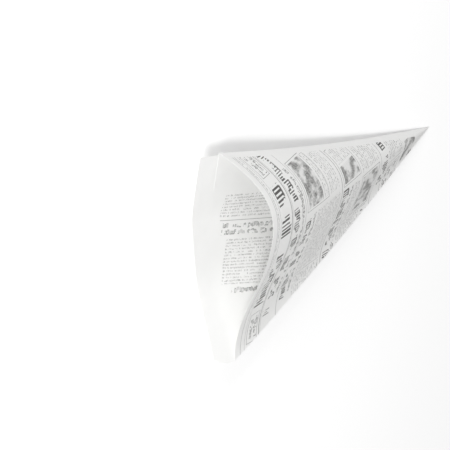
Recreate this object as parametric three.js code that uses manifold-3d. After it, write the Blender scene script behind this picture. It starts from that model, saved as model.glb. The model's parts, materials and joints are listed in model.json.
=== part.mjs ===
// Paper cone bag, opened and lying on its back. Millimetres, +Z up.
// One sheet of thin paper, folded once along one long side and glued along the other.
// The tip points towards +X, the mouth opens towards -X and the glued seam runs on the +Y side.
// The part's origin is the middle of its box, on the table.

import * as THREE from "three";
import Module from "manifold-3d";

// The sheet, as it is cut
const sideLength = 295;          // tip to mouth corner, along either crease
const paperThickness = 0.4;      // one layer, drawn thicker than real paper so that it is a solid
const lipDepth = 20;             // the back panel stands out past the front panel by this much
const lipSeamInset = 2;          // the lip's seam end starts this far in from the seam
const lipSeamSlant = 1.5;        // and the lip edge is shorter by this much again
const lipFoldSlant = 17;         // at the fold the lip is blunt: its edge is shorter by this much
const lipFoldRound = 0.6;        // and its end bulges: 0 is a straight cut, 1 leaves the fold gently
const flapWidth = 33;            // glue flap, folded in at the seam
const flapTipGap = 30;           // the flap stops this far from the tip, at the seam
const flapTaper = 45;            // and this much further from the tip at its free edge

// How far the bag is opened: its section, sectionDistance before the tip
const sectionDistance = 275;
const openWidth = 192;           // fold to seam
const creaseHeight = 15.5;       // fold and seam above the table
const restWidth = 46;            // flat strip of the back panel that lies on the table
const restShift = 11;            // that strip's middle, towards the seam
const riseCurve = 6;             // how far out from the strip the back panel bends upwards
const frontFoldReach = 65;       // the front panel leaves the fold level, and stays low this far
const frontSeamReach = 48;       // and it comes down to the seam steeply
const frontSeamLift = 102;
const sideBow = 4.4;             // the whole cone bows towards the fold side by this much

// Facets
const columnStep = THREE.MathUtils.degToRad(1.6);
const rowCount = 9;
const lipRows = 5;
const flapRows = 10;
const flapColumns = 6;
const tipSolid = 26;             // the tip, where the layers are pressed together, is solid this far
const curveSamples = 160;
const creaseMargin = 1.15;       // inner points this close to the inner crease line are dropped

const wasm = await Module();
wasm.setup();

// Each panel is a fan of straight lines that run out from the tip. A panel's table holds the
// direction of those lines and the angle that each has in the flat sheet.
function makePanel(curves) {
  const directions = [];
  for (const curve of curves) {
    const first = directions.length === 0 ? 0 : 1;
    for (let k = first; k <= curveSamples; k += 1) {
      const point = curve.getPoint(k / curveSamples);
      directions.push(new THREE.Vector3(-sectionDistance, point.x, point.y).normalize());
    }
  }
  const angles = [0];
  for (let k = 1; k < directions.length; k += 1) {
    angles.push(angles[k - 1] + directions[k].angleTo(directions[k - 1]));
  }
  return { directions, angles, fan: angles[angles.length - 1] };
}

function sample(panel, angle) {
  const { directions, angles } = panel;
  let k = 1;
  while (k < angles.length - 1 && angles[k] < angle) k += 1;
  const share = THREE.MathUtils.clamp((angle - angles[k - 1]) / (angles[k] - angles[k - 1]), 0, 1);
  const direction = directions[k - 1].clone().lerp(directions[k], share).normalize();
  const across = directions[k].clone().sub(directions[k - 1]);
  const outward = across.cross(direction).normalize();
  return { direction, outward };
}

const fold = new THREE.Vector2(-openWidth / 2, creaseHeight);
const seam = new THREE.Vector2(openWidth / 2, creaseHeight);
const restFold = new THREE.Vector2(restShift - restWidth / 2, 0);
const restSeam = new THREE.Vector2(restShift + restWidth / 2, 0);

const front = makePanel([
  new THREE.CubicBezierCurve(
    fold,
    new THREE.Vector2(fold.x + frontFoldReach, fold.y),
    new THREE.Vector2(seam.x - frontSeamReach, seam.y + frontSeamLift),
    seam,
  ),
]);
const backRise = makePanel([
  new THREE.QuadraticBezierCurve(seam, new THREE.Vector2(restSeam.x + riseCurve, 0), restSeam),
]);
const back = makePanel([
  new THREE.QuadraticBezierCurve(seam, new THREE.Vector2(restSeam.x + riseCurve, 0), restSeam),
  new THREE.LineCurve(restSeam, restFold),
  new THREE.QuadraticBezierCurve(restFold, new THREE.Vector2(restFold.x - riseCurve, 0), fold),
]);
const restStart = backRise.fan;
const restEnd = restStart + new THREE.Vector3(-sectionDistance, restSeam.x, 0)
  .angleTo(new THREE.Vector3(-sectionDistance, restFold.x, 0));

function place(panel, angle, radius, depth) {
  const { direction, outward } = sample(panel, angle);
  const point = direction.multiplyScalar(radius).addScaledVector(outward, -depth);
  const share = radius / sideLength;
  point.y -= sideBow * 4 * share * (1 - share);
  return point;
}

// Along a crease the inner faces of the two panels meet in a line of their own. Its offset from
// the crease is mitred, and it lies reach further in, so nearer columns have no inner point.
function makeCrease(one, other) {
  const cosine = one.outward.dot(other.outward);
  const offset = one.outward.clone().add(other.outward).divideScalar(1 + cosine);
  const reach = paperThickness * Math.sqrt(offset.lengthSq() - 1);
  return { direction: one.direction, offset, reach };
}

const foldCrease = makeCrease(sample(front, 0), sample(back, back.fan));
const seamCrease = makeCrease(sample(front, front.fan), sample(back, 0));

function nearCrease(panel, angle, radius) {
  const start = panel === front ? foldCrease : seamCrease;
  const end = panel === front ? seamCrease : foldCrease;
  if (radius * Math.sin(angle) < start.reach * creaseMargin) return start;
  if (radius * Math.sin(panel.fan - angle) < end.reach * creaseMargin) return end;
  return null;
}

// A panel's own flat coordinates: across, from its first crease along a cut line, and the cut
// line's distance from the tip. A mouth cut is square to the panel's middle line.
function cutDistance(panel, cornerRadius) {
  return cornerRadius * Math.cos(panel.fan / 2);
}

function angleAcross(panel, distance, across) {
  return panel.fan / 2 + Math.atan(across / distance - Math.tan(panel.fan / 2));
}

function radiusAt(panel, distance, angle) {
  return distance / Math.cos(angle - panel.fan / 2);
}

function fullWidth(panel, distance) {
  return 2 * distance * Math.tan(panel.fan / 2);
}

const frontCorner = sideLength - lipDepth / Math.cos(front.fan / 2);
const frontMouth = cutDistance(front, frontCorner);
const backMouth = cutDistance(back, frontCorner);
const backEdge = cutDistance(back, sideLength);

// A sheet is drawn as its outer face with matching inner points, then closed into a solid. Near a
// crease several outer points share one inner point, so faces that lose a corner are left out.
class Sheet {
  constructor() {
    this.outer = [];
    this.inner = [];
    this.innerOf = [];
    this.faces = [];
  }

  vertex(outer, inner) {
    this.outer.push(outer);
    this.innerOf.push(this.inner.length);
    this.inner.push(inner);
    return this.outer.length - 1;
  }

  point(panel, angle, radius, depth = 0, layer = paperThickness) {
    const outer = place(panel, angle, radius, depth);
    const inner = place(panel, angle, radius, depth + layer);
    return this.vertex(outer, inner);
  }

  // Points across one row share the inner point of the crease that they are close to
  row(columns, radiusOf) {
    const shared = new Map();
    return columns.map(({ panel, angle }) => {
      const radius = radiusOf(panel, angle);
      const index = this.point(panel, angle, radius);
      const crease = nearCrease(panel, angle, radius);
      if (crease === null) return index;
      if (!shared.has(crease)) {
        const atEnd = crease === foldCrease ? 0 : front.fan;
        const line = place(front, atEnd, radiusOf(front, atEnd), 0);
        line.addScaledVector(crease.offset, -paperThickness);
        shared.set(crease, this.innerOf[index]);
        this.inner[this.innerOf[index]] = line;
      }
      this.innerOf[index] = shared.get(crease);
      return index;
    });
  }

  band(low, high) {
    for (let i = 0; i + 1 < low.length; i += 1) {
      this.faces.push([low[i], low[i + 1], high[i + 1]], [low[i], high[i + 1], high[i]]);
    }
  }

  solid() {
    const count = this.outer.length;
    const inner = (index) => count + this.innerOf[index];
    const triangles = [];
    const keep = (a, b, c) => {
      if (a !== b && b !== c && c !== a) triangles.push(a, b, c);
    };
    const edges = new Map();
    for (const [a, b, c] of this.faces) {
      keep(a, b, c);
      keep(inner(a), inner(c), inner(b));
      for (const [from, to] of [[a, b], [b, c], [c, a]]) edges.set(`${from} ${to}`, [from, to]);
    }
    for (const [from, to] of edges.values()) {
      if (edges.has(`${to} ${from}`)) continue;
      keep(to, from, inner(from));
      keep(to, inner(from), inner(to));
    }
    return closedSolid([...this.outer, ...this.inner], triangles);
  }
}

// Points that no face uses are left out, because a solid holds only its own corners
function closedSolid(points, triangles) {
  const renumbered = new Map();
  const coordinates = [];
  const corners = triangles.map((index) => {
    if (!renumbered.has(index)) {
      renumbered.set(index, renumbered.size);
      coordinates.push(points[index].x, points[index].y, points[index].z);
    }
    return renumbered.get(index);
  });
  return new wasm.Manifold(new wasm.Mesh({
    numProp: 3,
    vertProperties: new Float32Array(coordinates),
    triVerts: new Uint32Array(corners),
  }));
}

function fill(stops) {
  const angles = [];
  for (let k = 0; k + 1 < stops.length; k += 1) {
    const span = stops[k + 1] - stops[k];
    const steps = Math.max(1, Math.ceil(span / columnStep));
    for (let n = 0; n < steps; n += 1) angles.push(stops[k] + (span * n) / steps);
  }
  return angles;
}

// Both panels, from the tip to the front mouth edge, then the back panel's lip past it
function makeBody() {
  const sheet = new Sheet();
  const lipAngle = angleAcross(back, backMouth, lipSeamInset);
  const columns = [
    ...fill([0, front.fan]).map((angle) => ({ panel: front, angle })),
    ...fill([0, lipAngle, restStart, restEnd, back.fan]).map((angle) => ({ panel: back, angle })),
  ];
  const radiusOnRow = (row) => (panel, angle) => {
    const mouth = radiusAt(panel, panel === front ? frontMouth : backMouth, angle);
    return THREE.MathUtils.lerp(tipSolid, mouth, row / rowCount);
  };

  let low = null;
  for (let row = 0; row <= rowCount; row += 1) {
    const high = sheet.row(columns, radiusOnRow(row));
    if (low === null) {
      const middle = new THREE.Vector3();
      for (const index of high) middle.add(sheet.inner[sheet.innerOf[index]]);
      middle.divideScalar(high.length);
      const tip = sheet.vertex(new THREE.Vector3(0, 0, 0), middle);
      for (let i = 0; i < high.length; i += 1) {
        sheet.faces.push([tip, high[(i + 1) % high.length], high[i]]);
      }
    } else {
      sheet.band([...low, low[0]], [...high, high[0]]);
    }
    low = high;
  }

  // The lip's columns, from its seam end to the fold
  const start = columns.findIndex(({ panel, angle }) => panel === back && angle >= lipAngle - 1e-9);
  const mouthWidth = fullWidth(back, backMouth);
  const lipAcross = [];
  for (let i = start; i < columns.length; i += 1) {
    const fromMiddle = backMouth * Math.tan(columns[i].angle - back.fan / 2);
    lipAcross.push(mouthWidth / 2 + fromMiddle);
  }
  lipAcross.push(mouthWidth);
  let lipLow = [...low.slice(start), low[0]];
  for (let row = 1; row <= lipRows; row += 1) {
    const share = row / lipRows;
    const distance = THREE.MathUtils.lerp(backMouth, backEdge, share);
    const width = fullWidth(back, distance);
    const seamEnd = lipSeamInset + lipSeamSlant * share;
    const foldEnd = width - lipFoldSlant * share * (1 - lipFoldRound * (1 - share));
    const lipHigh = lipAcross.map((across) => {
      const shareAcross = (across - lipSeamInset) / (mouthWidth - lipSeamInset);
      const fromMiddle = THREE.MathUtils.lerp(seamEnd, foldEnd, shareAcross) - width / 2;
      const angle = back.fan / 2 + Math.atan2(fromMiddle, distance);
      return sheet.point(back, angle, Math.hypot(fromMiddle, distance));
    });
    sheet.band(lipLow, lipHigh);
    lipLow = lipHigh;
  }
  return sheet.solid();
}

// The glue flap lies on the inside of the back panel, parallel to the seam and flush with the
// front mouth edge. Its outer face is sunk into the back panel's layer, as if glued.
function makeFlap() {
  const sheet = new Sheet();
  let low = null;
  for (let row = 0; row <= flapRows; row += 1) {
    const high = [];
    for (let column = 0; column <= flapColumns; column += 1) {
      const share = column / flapColumns;
      const fromSeam = THREE.MathUtils.lerp(paperThickness, flapWidth, share);
      const start = flapTipGap + flapTaper * share;
      const half = back.fan / 2;
      const end = (backMouth - fromSeam * Math.sin(half)) / Math.cos(half);
      const along = THREE.MathUtils.lerp(start, end, row / flapRows);
      const angle = Math.atan2(fromSeam, along);
      const radius = Math.hypot(fromSeam, along);
      high.push(sheet.point(back, angle, radius, paperThickness / 2, paperThickness * 1.5));
    }
    if (low !== null) sheet.band(low, high);
    low = high;
  }
  return sheet.solid();
}

function toGeometry(solid) {
  const { vertProperties, triVerts } = solid.getMesh();
  const geometry = new THREE.BufferGeometry();
  geometry.setAttribute("position", new THREE.BufferAttribute(new Float32Array(vertProperties), 3));
  geometry.setIndex(new THREE.BufferAttribute(new Uint32Array(triVerts), 1));
  geometry.computeVertexNormals();
  return geometry;
}

const paper = new THREE.MeshStandardMaterial({ color: 0xf1f0ec, roughness: 0.85, metalness: 0 });
const bag = makeBody().add(makeFlap());
const geometry = toGeometry(bag);
geometry.computeBoundingBox();
const box = geometry.boundingBox;
geometry.translate(
  -(box.min.x + box.max.x) / 2,
  -(box.min.y + box.max.y) / 2,
  -box.min.z,
);

const coneBag = new THREE.Mesh(geometry, paper);
coneBag.name = "folded_cone_bag";

const group = new THREE.Group();
group.add(coneBag);

export default group;
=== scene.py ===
import bisect
import json
import math

import bpy
from mathutils import Matrix, Vector, noise

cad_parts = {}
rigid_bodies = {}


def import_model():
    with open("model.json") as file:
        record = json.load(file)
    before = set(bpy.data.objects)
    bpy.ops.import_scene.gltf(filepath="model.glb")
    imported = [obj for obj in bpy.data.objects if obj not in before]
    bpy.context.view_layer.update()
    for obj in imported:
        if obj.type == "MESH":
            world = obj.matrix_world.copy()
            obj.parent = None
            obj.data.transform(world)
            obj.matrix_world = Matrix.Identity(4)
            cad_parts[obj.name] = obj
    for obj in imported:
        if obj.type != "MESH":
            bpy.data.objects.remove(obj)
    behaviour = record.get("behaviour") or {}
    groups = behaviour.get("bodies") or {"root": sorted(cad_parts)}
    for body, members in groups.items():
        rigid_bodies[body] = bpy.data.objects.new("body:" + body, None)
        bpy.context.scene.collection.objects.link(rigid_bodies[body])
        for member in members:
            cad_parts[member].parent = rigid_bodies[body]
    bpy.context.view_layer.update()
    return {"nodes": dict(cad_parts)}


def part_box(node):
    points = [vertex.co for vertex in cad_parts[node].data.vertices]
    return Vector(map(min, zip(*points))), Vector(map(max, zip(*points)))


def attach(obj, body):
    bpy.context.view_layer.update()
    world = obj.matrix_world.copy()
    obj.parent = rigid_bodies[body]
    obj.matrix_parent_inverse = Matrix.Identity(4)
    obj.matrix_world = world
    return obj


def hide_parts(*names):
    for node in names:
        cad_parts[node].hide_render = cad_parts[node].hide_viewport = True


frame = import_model()
print("frame loaded:", ", ".join(sorted(frame["nodes"])))

mm = 0.001

# The sheet of paper, as it is cut, folded and opened, in millimetres. Its outline is the packed
# part's. Its layer is thinner, and it has ripples
paperSheet = {
    "side": 295.0,              # tip to mouth corner, along either crease
    "thickness": 0.12,          # one layer, a little more than real so that its edge shows
    "lipDepth": 20.0,           # the back panel stands out past the front panel
    "lipSeamInset": 2.0,
    "lipSeamSlant": 1.5,
    "lipFoldSlant": 17.0,       # the lip is blunt at the fold
    "lipFoldRound": 0.6,
    "flapWidth": 33.0,
    "flapTipGap": 30.0,
    "flapTaper": 45.0,
    "flapCrowding": 1.6,        # the flap's columns crowd towards the seam by this power
    "tipStart": 0.4,            # the sheet's first row, this far from the tip
    "tipPressed": 14.0,         # nearer the tip than this, the layer thins out
    "glueGap": 0.03,            # between the flap and the back panel
    "edgeInset": 0.3,           # the back panel's raw edge lies this far inside the seam
    "flapColumns": 20,
    "panelColumns": 104,
    "bodyRows": 112,
    "lipRows": 10,
    "backPageOffset": 600.0,    # keeps the back's page clear of the front's
    "creaseCrowding": 0.6,      # columns crowd towards the creases by this share
    "ripple": 1.3,              # slow ripples in the paper, and their length
    "rippleLength": 40.0,
    "rippleSeed": 7.0,
    "fanSteps": 160,            # straight lines measured for each curve of the section
    "creaseSharpness": 32.0,    # degrees: a sharper edge than this is shaded as an edge
}

# How far the bag is opened: its section, square to the length, this far before the tip
openSection = {
    "distance": 275.0,
    "openWidth": 192.0,
    "creaseHeight": 15.5,
    "restWidth": 46.0,          # flat strip that lies on the table
    "restShift": 11.0,
    "riseCurve": 6.0,
    "frontFoldReach": 65.0,
    "frontSeamReach": 48.0,
    "frontSeamLift": 102.0,
    "sideBow": 4.4,             # the cone bows towards the fold by this much
}


def deselectAll():
    for item in bpy.context.scene.objects:
        item.select_set(False)


def bezierPoint(points, share):
    while len(points) > 1:
        points = [a.lerp(b, share) for a, b in zip(points, points[1:])]
    return points[0]


# A panel is a fan of straight lines that run out from the tip: their directions, and the angle
# that each has in the flat sheet
def makeFan(curves):
    steps = paperSheet["fanSteps"]
    directions = []
    for curve in curves:
        for k in range(1 if directions else 0, steps + 1):
            point = bezierPoint(curve, k / steps)
            directions.append(Vector((-openSection["distance"], point.x, point.y)).normalized())
    angles = [0.0]
    for one, other in zip(directions, directions[1:]):
        angles.append(angles[-1] + one.angle(other))
    return {"directions": directions, "angles": angles, "fan": angles[-1]}


def openPanels(s):
    fold = Vector((-s["openWidth"] / 2, s["creaseHeight"]))
    seam = Vector((s["openWidth"] / 2, s["creaseHeight"]))
    restFold = Vector((s["restShift"] - s["restWidth"] / 2, 0))
    restSeam = Vector((s["restShift"] + s["restWidth"] / 2, 0))
    rise = Vector((s["riseCurve"], 0))
    front = makeFan([[
        fold,
        fold + Vector((s["frontFoldReach"], 0)),
        seam + Vector((-s["frontSeamReach"], s["frontSeamLift"])),
        seam,
    ]])
    back = makeFan([
        [seam, restSeam + rise, restSeam],
        [restSeam, restFold],
        [restFold, restFold - rise, fold],
    ])
    return front, back


front, back = openPanels(openSection)
cornerRadius = paperSheet["side"] - paperSheet["lipDepth"] / math.cos(front["fan"] / 2)
frontMouth = cornerRadius * math.cos(front["fan"] / 2)
backMouth = cornerRadius * math.cos(back["fan"] / 2)
backEdge = paperSheet["side"] * math.cos(back["fan"] / 2)


# The place on the opened cone of a point of a panel, some depth under its outer face
def place(panel, angle, radius, depth):
    angles, directions = panel["angles"], panel["directions"]
    k = min(max(bisect.bisect_left(angles, angle), 1), len(angles) - 1)
    share = (angle - angles[k - 1]) / (angles[k] - angles[k - 1])
    direction = directions[k - 1].lerp(directions[k], share).normalized()
    outward = (directions[k] - directions[k - 1]).cross(direction).normalized()
    point = direction * radius - outward * depth
    along = radius / paperSheet["side"]
    point.y -= openSection["sideBow"] * 4 * along * (1 - along)
    return point


# A point of the sheet while it is flat, on the page: x along the front mouth edge, y down from it
def pagePoint(angleFromFold, radius):
    angle = angleFromFold - front["fan"] / 2
    return Vector((radius * math.sin(angle), frontMouth - radius * math.cos(angle)))


# The back panel is printed with rows along the seam: x from the tip, y away from the seam, set off
# to the left of the front's page so that the two don't share a box
def backPagePoint(angleFromSeam, radius):
    along = radius * math.cos(angleFromSeam) - paperSheet["backPageOffset"]
    return Vector((along, radius * math.sin(angleFromSeam)))


def crowded(share):
    return share - paperSheet["creaseCrowding"] * math.sin(2 * math.pi * share) / (2 * math.pi)


def ripple(flat, radius, edgeShare):
    calm = math.sin(math.pi * min(max(edgeShare, 0), 1))
    wave = noise.noise(Vector((flat.x, flat.y, paperSheet["rippleSeed"])) / paperSheet["rippleLength"])
    return paperSheet["ripple"] * wave * calm * radius / paperSheet["side"]


# Both panels share the rows from the tip to the front mouth edge. The back goes on into the lip
def panelPoint(panel, angle, row, lipFirst):
    s = paperSheet
    mouth = frontMouth if panel is front else backMouth
    if row <= s["bodyRows"]:
        radius = mouth / math.cos(angle - panel["fan"] / 2)
        radius = s["tipStart"] + (radius - s["tipStart"]) * row / s["bodyRows"]
        return angle, radius
    share = (row - s["bodyRows"]) / s["lipRows"]
    distance = backMouth + (backEdge - backMouth) * share
    mouthWidth = 2 * backMouth * math.tan(back["fan"] / 2)
    across = mouthWidth / 2 + backMouth * math.tan(angle - back["fan"] / 2)
    width = 2 * distance * math.tan(back["fan"] / 2)
    seamEnd = lipFirst + s["lipSeamSlant"] * share
    foldEnd = width - s["lipFoldSlant"] * share * (1 - s["lipFoldRound"] * (1 - share))
    acrossShare = (across - lipFirst) / (mouthWidth - lipFirst)
    fromMiddle = seamEnd + (foldEnd - seamEnd) * acrossShare - width / 2
    return back["fan"] / 2 + math.atan2(fromMiddle, distance), math.hypot(fromMiddle, distance)


def flapPoint(share, row, firstRow):
    s = paperSheet
    fromSeam = s["flapWidth"] * share ** s["flapCrowding"]
    wide = fromSeam / s["flapWidth"]
    firstRadius = s["tipStart"] + (cornerRadius - s["tipStart"]) * firstRow / s["bodyRows"]
    start = firstRadius + s["flapTaper"] * wide
    half = back["fan"] / 2
    end = (backMouth - fromSeam * math.sin(half)) / math.cos(half)
    along = start + (end - start) * (row - firstRow) / (s["bodyRows"] - firstRow)
    return math.atan2(fromSeam, along), math.hypot(fromSeam, along)


# One grid is the whole sheet: the flap's columns, then the front panel's and the back panel's
def foldSheet():
    s = paperSheet
    seamColumn = s["flapColumns"]
    foldColumn = seamColumn + s["panelColumns"]
    columns = foldColumn + s["panelColumns"]
    rows = s["bodyRows"] + s["lipRows"]
    flapRow = round(s["flapTipGap"] / cornerRadius * s["bodyRows"])

    backHalf = back["fan"] / 2
    backShares = [1 - k / s["panelColumns"] for k in range(s["panelColumns"] + 1)]
    backAngles = [back["fan"] * crowded(share) for share in backShares]
    acrossMouth = [backMouth * (math.tan(angle - backHalf) + math.tan(backHalf)) for angle in backAngles]
    lipColumn = max(k for k, across in enumerate(acrossMouth) if across >= s["lipSeamInset"])
    lipFirst = acrossMouth[lipColumn]

    deselectAll()
    bpy.ops.mesh.primitive_grid_add(x_subdivisions=columns, y_subdivisions=rows, size=1)
    sheet = bpy.context.object
    sheet.name = "printed_cone_sheet"
    mesh = sheet.data
    cell = [(round((v.co.x + 0.5) * columns), round((v.co.y + 0.5) * rows)) for v in mesh.vertices]

    # The cells that are cut away: beside the lip, and the flap's tip end
    bpy.ops.object.mode_set(mode="EDIT")
    bpy.ops.mesh.select_mode(type="FACE")
    bpy.ops.mesh.select_all(action="DESELECT")
    bpy.ops.object.mode_set(mode="OBJECT")
    for face in mesh.polygons:
        column = min(cell[k][0] for k in face.vertices)
        row = min(cell[k][1] for k in face.vertices)
        besideLip = column < foldColumn or column >= foldColumn + lipColumn
        flapEnd = column < seamColumn and row < flapRow
        face.select = (row >= s["bodyRows"] and besideLip) or flapEnd
    bpy.ops.object.mode_set(mode="EDIT")
    bpy.ops.mesh.delete(type="FACE")
    bpy.ops.object.mode_set(mode="OBJECT")
    cell = [(round((v.co.x + 0.5) * columns), round((v.co.y + 0.5) * rows)) for v in mesh.vertices]

    pressed = sheet.vertex_groups.new(name="pressed")
    flats, backFlats = [], []
    for vertex, (column, row) in zip(mesh.vertices, cell):
        backFlat = backPagePoint(back["fan"], 0)
        if column < seamColumn:
            share = 1 - column / seamColumn
            angle, radius = flapPoint(share, row, flapRow)
            flat = pagePoint(front["fan"] + angle, radius)
            rise = max(0, ripple(backPagePoint(angle, radius), radius, angle / back["fan"]))
            depth = s["thickness"] + s["glueGap"] + rise
            spot = place(back, angle, radius, depth)
        elif column <= foldColumn:
            angle = front["fan"] * crowded((foldColumn - column) / s["panelColumns"])
            angle, radius = panelPoint(front, angle, row, lipFirst)
            flat = pagePoint(angle, radius)
            depth = ripple(flat, radius, angle / front["fan"])
            spot = place(front, angle, radius, depth)
            backFlat = backPagePoint(back["fan"], radius)
            if row > s["bodyRows"]:  # the fold's own column goes on into the lip
                angle, radius = panelPoint(back, back["fan"], row, lipFirst)
                backFlat = backPagePoint(angle, radius)
                spot = place(back, angle, radius, 0)
        else:
            angle, radius = panelPoint(back, backAngles[column - foldColumn], row, lipFirst)
            angle = max(angle, s["edgeInset"] / radius) if radius > s["tipPressed"] else angle
            flat = backFlat = backPagePoint(angle, radius)
            spot = place(back, angle, radius, max(0, ripple(flat, radius, angle / back["fan"])))
        vertex.co = spot
        flats.append(flat)
        backFlats.append(backFlat)
        pressed.add([vertex.index], min(1, radius / s["tipPressed"]) ** 2, "REPLACE")

    page = mesh.uv_layers[0]
    page.name = "page"
    for face in mesh.polygons:
        column = min(cell[k][0] for k in face.vertices)
        face.material_index = 2 if column < seamColumn else 0
        face.use_smooth = True
        used = backFlats if column >= foldColumn else flats
        for corner in face.loop_indices:
            flat = used[mesh.loops[corner].vertex_index]
            page.data[corner].uv = (flat.x * mm, flat.y * mm)
    return sheet


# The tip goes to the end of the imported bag's box, and the lowest line to its floor
def placeSheet(sheet):
    low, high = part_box("folded_cone_bag")
    mesh = sheet.data
    mesh.transform(Matrix.Scale(mm, 4))
    lowest = [min(v.co[k] for v in mesh.vertices) for k in range(3)]
    highest = [max(v.co[k] for v in mesh.vertices) for k in range(3)]
    shift = Vector((
        high.x - highest[0],
        (low.y + high.y - lowest[1] - highest[1]) / 2,
        low.z - lowest[2],
    ))
    mesh.transform(Matrix.Translation(shift))
    print("sheet placed, moved by", [round(v, 5) for v in shift])


def select(item):
    deselectAll()
    item.select_set(True)
    bpy.context.view_layer.objects.active = item


def thickenSheet(sheet):
    select(sheet)
    bpy.ops.object.mode_set(mode="EDIT")
    bpy.ops.mesh.select_all(action="SELECT")
    bpy.ops.mesh.flip_normals()  # folding turned the flat grid inside out
    bpy.ops.object.mode_set(mode="OBJECT")
    layer = sheet.modifiers.new("layer", "SOLIDIFY")
    layer.thickness = paperSheet["thickness"] * mm
    layer.offset = -1
    layer.vertex_group = "pressed"
    layer.material_offset = 1
    layer.material_offset_rim = 1
    bpy.ops.object.modifier_apply(modifier="layer")
    bpy.ops.object.shade_smooth_by_angle(angle=math.radians(paperSheet["creaseSharpness"]))


def hexColour(text):
    values = [int(text[k:k + 2], 16) / 255 for k in (0, 2, 4)]
    return [v / 12.92 if v <= 0.04045 else ((v + 0.055) / 1.055) ** 2.4 for v in values] + [1.0]


# Values go to the node's inputs in order, and a socket is linked
def addNode(tree, kind, *values, **settings):
    node = tree.nodes.new("ShaderNode" + kind)
    for name, setting in settings.items():
        setattr(node, name, setting)
    for socket, value in zip(node.inputs, values):
        if isinstance(value, bpy.types.NodeSocket):
            tree.links.new(value, socket)
        elif value is not None:
            socket.default_value = value
    return node


def emptyMaterial(name):
    material = bpy.data.materials.new(name)
    material.use_nodes = True
    material.node_tree.nodes.clear()
    return material


# The greeked page that is printed over the whole sheet: boxes of left, top, right and bottom, in
# millimetres. The front panel's are from the middle of its mouth edge, and down from it. Those that
# lie left of -350 are the back panel's, which has its own page along the seam
printedPage = {
    "rules": [
        (-110, 6.6, 110, 7.0), (-110, 11.6, 110, 11.9), (-110, 29.0, 110, 29.8),
        (-110, 31.0, 110, 31.3), (-110, 50.4, 110, 50.8), (-52.8, 70, -52.4, 104),
        (-19.8, 70, -19.4, 104), (-96, 107, 62, 107.6), (-30.8, 127, -30.4, 166),
        (-56, 171, 44, 171.4), (0.4, 184, 0.8, 207),
        (-452.2, 38, -451.8, 121), (-449, 59.6, -358, 60), (-545, 84, -455, 84.4),
    ],
    "frames": [
        (-94, 14, -66, 27), (66, 14, 90, 27), (19, 53, 64, 86), (15, 110, 50, 138),
        (-29, 140, 11, 168), (-32, 184, -3, 206), (-500, 39, -456, 81),
    ],
    "masthead": [(-58, 13.6, 58, 27.6)],
    "headline": [
        (-76, 33, 88, 42), (-70, 52.4, 15, 61), (-68, 110, 12, 119), (-34, 174, 28, 182),
        (-58, 158, -34, 166),
    ],
    "subhead": [
        (-90, 16.5, -70, 26), (68, 16.5, 88, 26), (-58, 44.4, 62, 49.4), (-66, 63.4, 14, 68.2),
        (-58, 120.4, 11, 125), (-30, 187, -5, 204), (-449, 62, -362, 72), (-449, 113.5, -380, 118),
        (-545, 87, -456, 92),
    ],
    "body": [
        (-60, 8, 100, 10.6), (-72, 70, -54, 104), (-51, 70, -21, 104), (-18, 70, 15, 104),
        (21, 79, 62, 85), (20, 89, 58, 104), (34, 113, 48, 136), (-52, 127, -32, 156),
        (-29, 127, 11, 137), (14, 141, 40, 168), (3, 185, 22, 208), (-449, 38, -357, 58),
        (-449, 75, -370, 111), (-545, 40, -503, 82), (-545, 94, -456, 122),
    ],
    "picture": [
        (21, 55, 62, 77), (17, 112, 32, 136), (-27, 142, 9, 166), (-14, 211, 8, 228),
        (-498, 41, -458, 79),
    ],
    "frameLine": 0.45,
    "seamMargin": 6.0,          # bare strip beside the seam
}

# Greeked rows: uneven upright strokes, by chance, with gaps between words. No letter is drawn
greekedStyles = {
    "masthead": {"pitch": 16.0, "height": 13.5, "glyph": 9.0, "stem": 3.4, "ink": 0.9, "seed": 3.0},
    "headline": {"pitch": 11.0, "height": 9.4, "glyph": 5.6, "stem": 2.3, "ink": 0.9, "seed": 11.0},
    "subhead": {"pitch": 5.4, "height": 4.3, "glyph": 2.6, "stem": 1.15, "ink": 0.75, "seed": 23.0},
    "body": {"pitch": 2.5, "height": 1.5, "glyph": 1.5, "stem": 0.75, "ink": 0.6, "seed": 37.0},
}

# What all the styles share. Heights are shares of the row's, from its top, and chances are of 1
greekedStroke = {
    "boxSeed": (0.37, 0.61, 0),
    "gapChance": 0.17,
    "shortChance": 0.55,
    "shortTop": 0.24,
    "noDropChance": 0.86,
    "base": 0.84,
    "drop": 0.16,
    "thinnest": 0.2,
    "thickness": 0.5,
    "breakSize": 1.3,
    "breakLimit": 0.4,
    "footHeight": 0.07,
    "footLimit": 0.56,
}

# Halftone fields: millimetres for the soft shapes and the grain, then the noise and the tone ranges
halftone = {
    "shape": 9.0,
    "grain": 1.4,
    "shapeRange": (0.38, 0.6, 0.12, 1.0),
    "grainRange": (0.3, 0.65, 0.55, 1.0),
}

inkStyle = {
    "ink": "34322f",
    "ruleInk": 0.62,
    "pictureInk": 0.78,
    "showThrough": 0.02,        # how much of the print is seen through the paper, from inside
}

paperSkin = {
    "paper": "fbfbfa",
    # Painted shade: the inner faces are a little darker than the outer face of the same paper, the back
    # panel's inside most and the flap's less, standing in for the shade inside the cone
    "inside": "f2f2f1",
    "flap": "f8f7f5",
    "cloud": "cbcac7",
    "cloudRange": (0.3, 0.7, 0.0, 0.05),
    "mottle": 14.0,
    "fibre": 0.9,               # real fibres are about 0.03 mm wide, drawn coarser so that they show
    "fibreRelief": 0.02,
    "fibreStrength": 0.35,
    "translucent": 0.14,        # thin paper lets this share of the light through
    "roughness": 0.72,
    "specular": 0.35,
}


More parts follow.
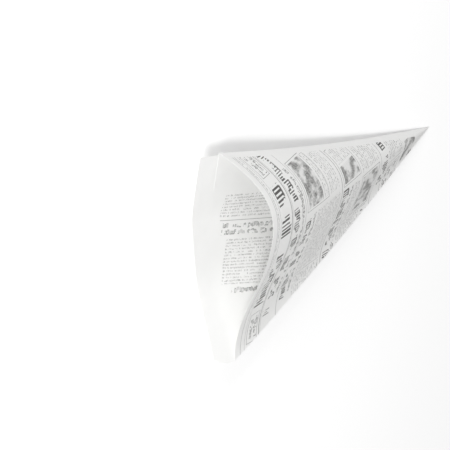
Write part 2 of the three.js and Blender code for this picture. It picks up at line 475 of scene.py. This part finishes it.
def insideBox(tree, page, box):
    left, top, right, bottom = box
    middle = ((left + right) / 2, (top + bottom) / 2, 0)
    half = ((right - left) / 2, (bottom - top) / 2, 1)
    away = addNode(tree, "VectorMath", page, middle, operation="SUBTRACT").outputs[0]
    away = addNode(tree, "VectorMath", away, operation="ABSOLUTE").outputs[0]
    past = addNode(tree, "VectorMath", away, half, operation="SUBTRACT").outputs[0]
    parts = addNode(tree, "SeparateXYZ", past)
    worst = addNode(tree, "Math", parts.outputs[0], parts.outputs[1], operation="MAXIMUM").outputs[0]
    return addNode(tree, "Math", worst, 0.0, operation="LESS_THAN").outputs[0]


def anyOf(tree, masks):
    total = masks[0]
    for mask in masks[1:]:
        total = addNode(tree, "Math", total, mask, operation="MAXIMUM").outputs[0]
    return total


def frameLines(tree, page, box, line):
    left, top, right, bottom = box
    outer = insideBox(tree, page, box)
    inner = insideBox(tree, page, (left + line, top + line, right - line, bottom - line))
    return addNode(tree, "Math", outer, inner, operation="SUBTRACT").outputs[0]


# Each box of a style starts its own rows at its top left corner
def greekedRows(tree, page, boxes, style):
    g = greekedStroke
    masks = [insideBox(tree, page, box) for box in boxes]
    corner = None
    for mask, box in zip(masks, boxes):
        start = addNode(tree, "VectorMath", (box[0], box[1], 0), operation="SCALE")
        tree.links.new(mask, start.inputs["Scale"])
        if corner is None:
            corner = start.outputs[0]
        else:
            corner = addNode(tree, "VectorMath", corner, start.outputs[0], operation="ADD").outputs[0]
    spot = addNode(tree, "VectorMath", page, corner, operation="SUBTRACT").outputs[0]
    x, y = addNode(tree, "SeparateXYZ", spot).outputs[:2]
    seed = addNode(tree, "VectorMath", corner, g["boxSeed"], operation="DOT_PRODUCT").outputs["Value"]
    seed = addNode(tree, "Math", seed, style["seed"], operation="ADD").outputs[0]

    rows = addNode(tree, "Math", y, style["pitch"], operation="DIVIDE").outputs[0]
    row = addNode(tree, "Math", rows, operation="FLOOR").outputs[0]
    down = addNode(tree, "Math", rows, row, operation="SUBTRACT").outputs[0]
    stretch = style["pitch"] / style["height"]
    down = addNode(tree, "Math", down, stretch, operation="MULTIPLY").outputs[0]

    glyphs = addNode(tree, "Math", x, style["glyph"], operation="DIVIDE").outputs[0]
    glyph = addNode(tree, "Math", glyphs, operation="FLOOR").outputs[0]
    spotOfGlyph = addNode(tree, "CombineXYZ", glyph, row, seed).outputs[0]
    chance = addNode(tree, "TexWhiteNoise", spotOfGlyph, noise_dimensions="3D").outputs["Color"]
    gap, tall, deep = addNode(tree, "SeparateXYZ", chance).outputs[:3]
    word = addNode(tree, "Math", gap, g["gapChance"], operation="GREATER_THAN").outputs[0]
    short = addNode(tree, "Math", tall, g["shortChance"], operation="LESS_THAN").outputs[0]
    top = addNode(tree, "Math", short, g["shortTop"], operation="MULTIPLY").outputs[0]
    drop = addNode(tree, "Math", deep, g["noDropChance"], operation="GREATER_THAN").outputs[0]
    low = addNode(tree, "Math", drop, g["drop"], g["base"], operation="MULTIPLY_ADD").outputs[0]
    underTop = addNode(tree, "Math", down, top, operation="GREATER_THAN").outputs[0]
    overLow = addNode(tree, "Math", down, low, operation="LESS_THAN").outputs[0]
    band = addNode(tree, "Math", underTop, overLow, operation="MULTIPLY").outputs[0]

    stems = addNode(tree, "Math", x, style["stem"], operation="DIVIDE").outputs[0]
    stem = addNode(tree, "Math", stems, operation="FLOOR").outputs[0]
    across = addNode(tree, "Math", stems, stem, operation="SUBTRACT").outputs[0]
    spotOfStem = addNode(tree, "CombineXYZ", stem, row, seed).outputs[0]
    thick = addNode(tree, "TexWhiteNoise", spotOfStem, noise_dimensions="3D").outputs["Value"]
    thick = addNode(tree, "Math", thick, g["thickness"], g["thinnest"], operation="MULTIPLY_ADD").outputs[0]
    stroke = addNode(tree, "Math", across, thick, operation="LESS_THAN").outputs[0]
    breakScale = g["breakSize"] / style["height"]
    breaks = addNode(tree, "TexNoise", spot, None, breakScale, 1.0, noise_dimensions="2D").outputs[0]
    kept = addNode(tree, "Math", breaks, g["breakLimit"], operation="GREATER_THAN").outputs[0]
    stroke = addNode(tree, "Math", stroke, kept, operation="MULTIPLY").outputs[0]

    feet = []
    for line in (top, low):  # short feet at the ends of the strokes
        near = addNode(tree, "Math", down, line, g["footHeight"], operation="COMPARE").outputs[0]
        feet.append(addNode(tree, "Math", near, breaks, operation="MULTIPLY").outputs[0])
    foot = addNode(tree, "Math", anyOf(tree, feet), g["footLimit"], operation="GREATER_THAN").outputs[0]
    stroke = anyOf(tree, [addNode(tree, "Math", stroke, band, operation="MULTIPLY").outputs[0], foot])
    word = addNode(tree, "Math", word, anyOf(tree, masks), operation="MULTIPLY").outputs[0]
    return addNode(tree, "Math", stroke, word, operation="MULTIPLY").outputs[0]


# Soft mottled greys under a grain
def greyPicture(tree, page, boxes):
    h = halftone
    inside = anyOf(tree, [insideBox(tree, page, box) for box in boxes])
    shapes = addNode(tree, "TexNoise", page, None, 1 / h["shape"], 3.0, noise_dimensions="2D").outputs[0]
    grain = addNode(tree, "TexNoise", page, None, 1 / h["grain"], 1.0, noise_dimensions="2D").outputs[0]
    tone = addNode(tree, "MapRange", shapes, *h["shapeRange"]).outputs[0]
    rough = addNode(tree, "MapRange", grain, *h["grainRange"]).outputs[0]
    tone = addNode(tree, "Math", tone, rough, operation="MULTIPLY").outputs[0]
    return addNode(tree, "Math", tone, inside, operation="MULTIPLY").outputs[0]


def pageInk(tree, page):
    p = printedPage
    inks = []
    lines = [insideBox(tree, page, box) for box in p["rules"]]
    lines += [frameLines(tree, page, box, p["frameLine"]) for box in p["frames"]]
    inks.append((anyOf(tree, lines), inkStyle["ruleInk"]))
    for name, style in greekedStyles.items():
        inks.append((greekedRows(tree, page, p[name], style), style["ink"]))
    inks.append((greyPicture(tree, page, p["picture"]), inkStyle["pictureInk"]))
    total = anyOf(tree, [
        addNode(tree, "Math", ink, strength, operation="MULTIPLY").outputs[0] for ink, strength in inks
    ])

    # A bare strip beside the seam
    half = front["fan"] / 2
    seamNormal = (math.cos(half), math.sin(half), 0)
    fromSeam = addNode(tree, "VectorMath", page, seamNormal, operation="DOT_PRODUCT").outputs["Value"]
    seamLimit = frontMouth * math.sin(half) - p["seamMargin"]
    clear = addNode(tree, "Math", fromSeam, seamLimit, operation="LESS_THAN").outputs[0]
    return addNode(tree, "Math", total, clear, operation="MULTIPLY").outputs[0]


def mixColours(tree, share, first, second):
    unused = [None] * 5  # the mix node's sockets for numbers and vectors come before its colours
    return addNode(tree, "Mix", share, *unused, first, second, data_type="RGBA").outputs[2]


# Thin bleached kraft, machine finished: matt, faintly mottled, with a fine fibre in its surface
def paperMaterial(name, colour, inkShare):
    s = paperSkin
    material = emptyMaterial(name)
    tree = material.node_tree
    uv = addNode(tree, "UVMap", uv_map="page").outputs[0]
    page = addNode(tree, "VectorMath", uv, (1 / mm, 1 / mm, 1 / mm), operation="MULTIPLY").outputs[0]
    cloud = addNode(tree, "TexNoise", page, None, 1 / s["mottle"], 3.0, noise_dimensions="2D").outputs[0]
    shade = addNode(tree, "MapRange", cloud, *s["cloudRange"]).outputs[0]
    base = mixColours(tree, shade, hexColour(colour), hexColour(s["cloud"]))
    if inkShare:
        ink = pageInk(tree, page)
        ink = addNode(tree, "Math", ink, inkShare, operation="MULTIPLY").outputs[0]
        base = mixColours(tree, ink, base, hexColour(inkStyle["ink"]))
    fibres = addNode(tree, "TexNoise", page, None, 1 / s["fibre"], 4.0, noise_dimensions="2D").outputs[0]
    bump = addNode(tree, "Bump", s["fibreStrength"], s["fibreRelief"] * mm)
    tree.links.new(fibres, bump.inputs["Height"])
    skin = addNode(tree, "BsdfPrincipled")
    skin.inputs["Roughness"].default_value = s["roughness"]
    skin.inputs["Specular IOR Level"].default_value = s["specular"]
    tree.links.new(base, skin.inputs["Base Color"])
    tree.links.new(bump.outputs[0], skin.inputs["Normal"])
    glow = addNode(tree, "BsdfTranslucent", base)
    tree.links.new(bump.outputs[0], glow.inputs["Normal"])
    through = addNode(tree, "MixShader", s["translucent"], skin.outputs[0], glow.outputs[0])
    addNode(tree, "OutputMaterial", through.outputs[0])
    return material


# Lifted a little where the camera sees it, as the photo's background is pure white
whiteTable = {
    "colour": "fefefe",
    "roughness": 0.9,
    "lift": 0.06,
    "size": 12.0,
    "below": 0.3,               # millimetres under the bag
}


# White matt laminate
def tableMaterial():
    material = emptyMaterial("whiteLaminate")
    tree = material.node_tree
    seen = addNode(tree, "LightPath").outputs["Is Camera Ray"]
    skin = addNode(tree, "BsdfPrincipled")
    skin.inputs["Base Color"].default_value = hexColour(whiteTable["colour"])
    skin.inputs["Roughness"].default_value = whiteTable["roughness"]
    skin.inputs["Emission Color"].default_value = (1, 1, 1, 1)
    lift = addNode(tree, "Math", seen, whiteTable["lift"], operation="MULTIPLY").outputs[0]
    tree.links.new(lift, skin.inputs["Emission Strength"])
    addNode(tree, "OutputMaterial", skin.outputs[0])
    return material


# The photo's view: the bag lies on the table, and the camera is rolled so that its tip points up
cameraView = {
    "pivot": (-10.9, -1.2, 0.0),            # a point on the back panel, in millimetres
    "toward": (-0.64642, 0.46624, 0.60395),  # from that point to the camera
    "distance": 2500.0,
    "aim": (-60.9, -16.4, -41.8),           # the middle of the picture
    "up": (0.38213, 0.88297, -0.27265),
    "lens": 256.6,
    "clipEnd": 50,              # metres
}


def addCamera():
    c = cameraView
    spot = (Vector(c["pivot"]) + Vector(c["toward"]) * c["distance"]) * mm
    back = (spot - Vector(c["aim"]) * mm).normalized()
    right = Vector(c["up"]).cross(back).normalized()
    bpy.ops.object.camera_add(location=spot)
    camera = bpy.context.object
    camera.rotation_euler = Matrix((right, back.cross(right), back)).transposed().to_euler()
    camera.data.lens = c["lens"]
    camera.data.clip_end = c["clipEnd"]
    bpy.context.scene.camera = camera


def addStage():
    deselectAll()
    bpy.ops.mesh.primitive_plane_add(size=whiteTable["size"], location=(0, 0, -whiteTable["below"] * mm))
    floor = bpy.context.object
    floor.name = "floor"
    floor.data.materials.append(tableMaterial())


lightRoom = {
    "worldStrength": 0.53,
    "lamps": {                  # direction from the bag, distance, size and power
        "lowSoftbox": ((-0.4, 0.85, 0.32), 2.2, 0.55, 14.0),
        "mouthSoftbox": ((-0.82, 0.1, 0.5), 2.2, 0.6, 35.0),
    },
}


def addLights():
    world = bpy.data.worlds.new("softRoom")
    bpy.context.scene.world = world
    world.use_nodes = True
    world.node_tree.nodes["Background"].inputs["Strength"].default_value = lightRoom["worldStrength"]
    world.node_tree.nodes["Background"].inputs["Color"].default_value = (1, 1, 1, 1)
    for name, (direction, distance, size, power) in lightRoom["lamps"].items():
        away = Vector(direction).normalized()
        bpy.ops.object.light_add(type="AREA", location=away * distance)
        lamp = bpy.context.object
        lamp.name = name
        lamp.data.size = size
        lamp.data.energy = power
        lamp.rotation_euler = away.to_track_quat("Z", "Y").to_euler()


sheet = foldSheet()
placeSheet(sheet)
thickenSheet(sheet)
for name, colour, inkShare in (
    ("printedKraftPaper", paperSkin["paper"], 1.0),
    # The inner faces take the darker inside and flap colours, which are painted shade; the back's inside
    # also shows a faint show-through of the print
    ("kraftPaperInsidePaintedShade", paperSkin["inside"], inkStyle["showThrough"]),
    ("kraftFlapPrinted", paperSkin["paper"], 1.0),
    ("kraftFlapInsidePaintedShade", paperSkin["flap"], 0.0),
):
    sheet.data.materials.append(paperMaterial(name, colour, inkShare))
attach(sheet, "root")
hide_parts("folded_cone_bag")
print("sheet folded:", len(sheet.data.polygons), "faces")

addCamera()
addStage()
addLights()
bpy.context.scene.view_settings.view_transform = "Standard"
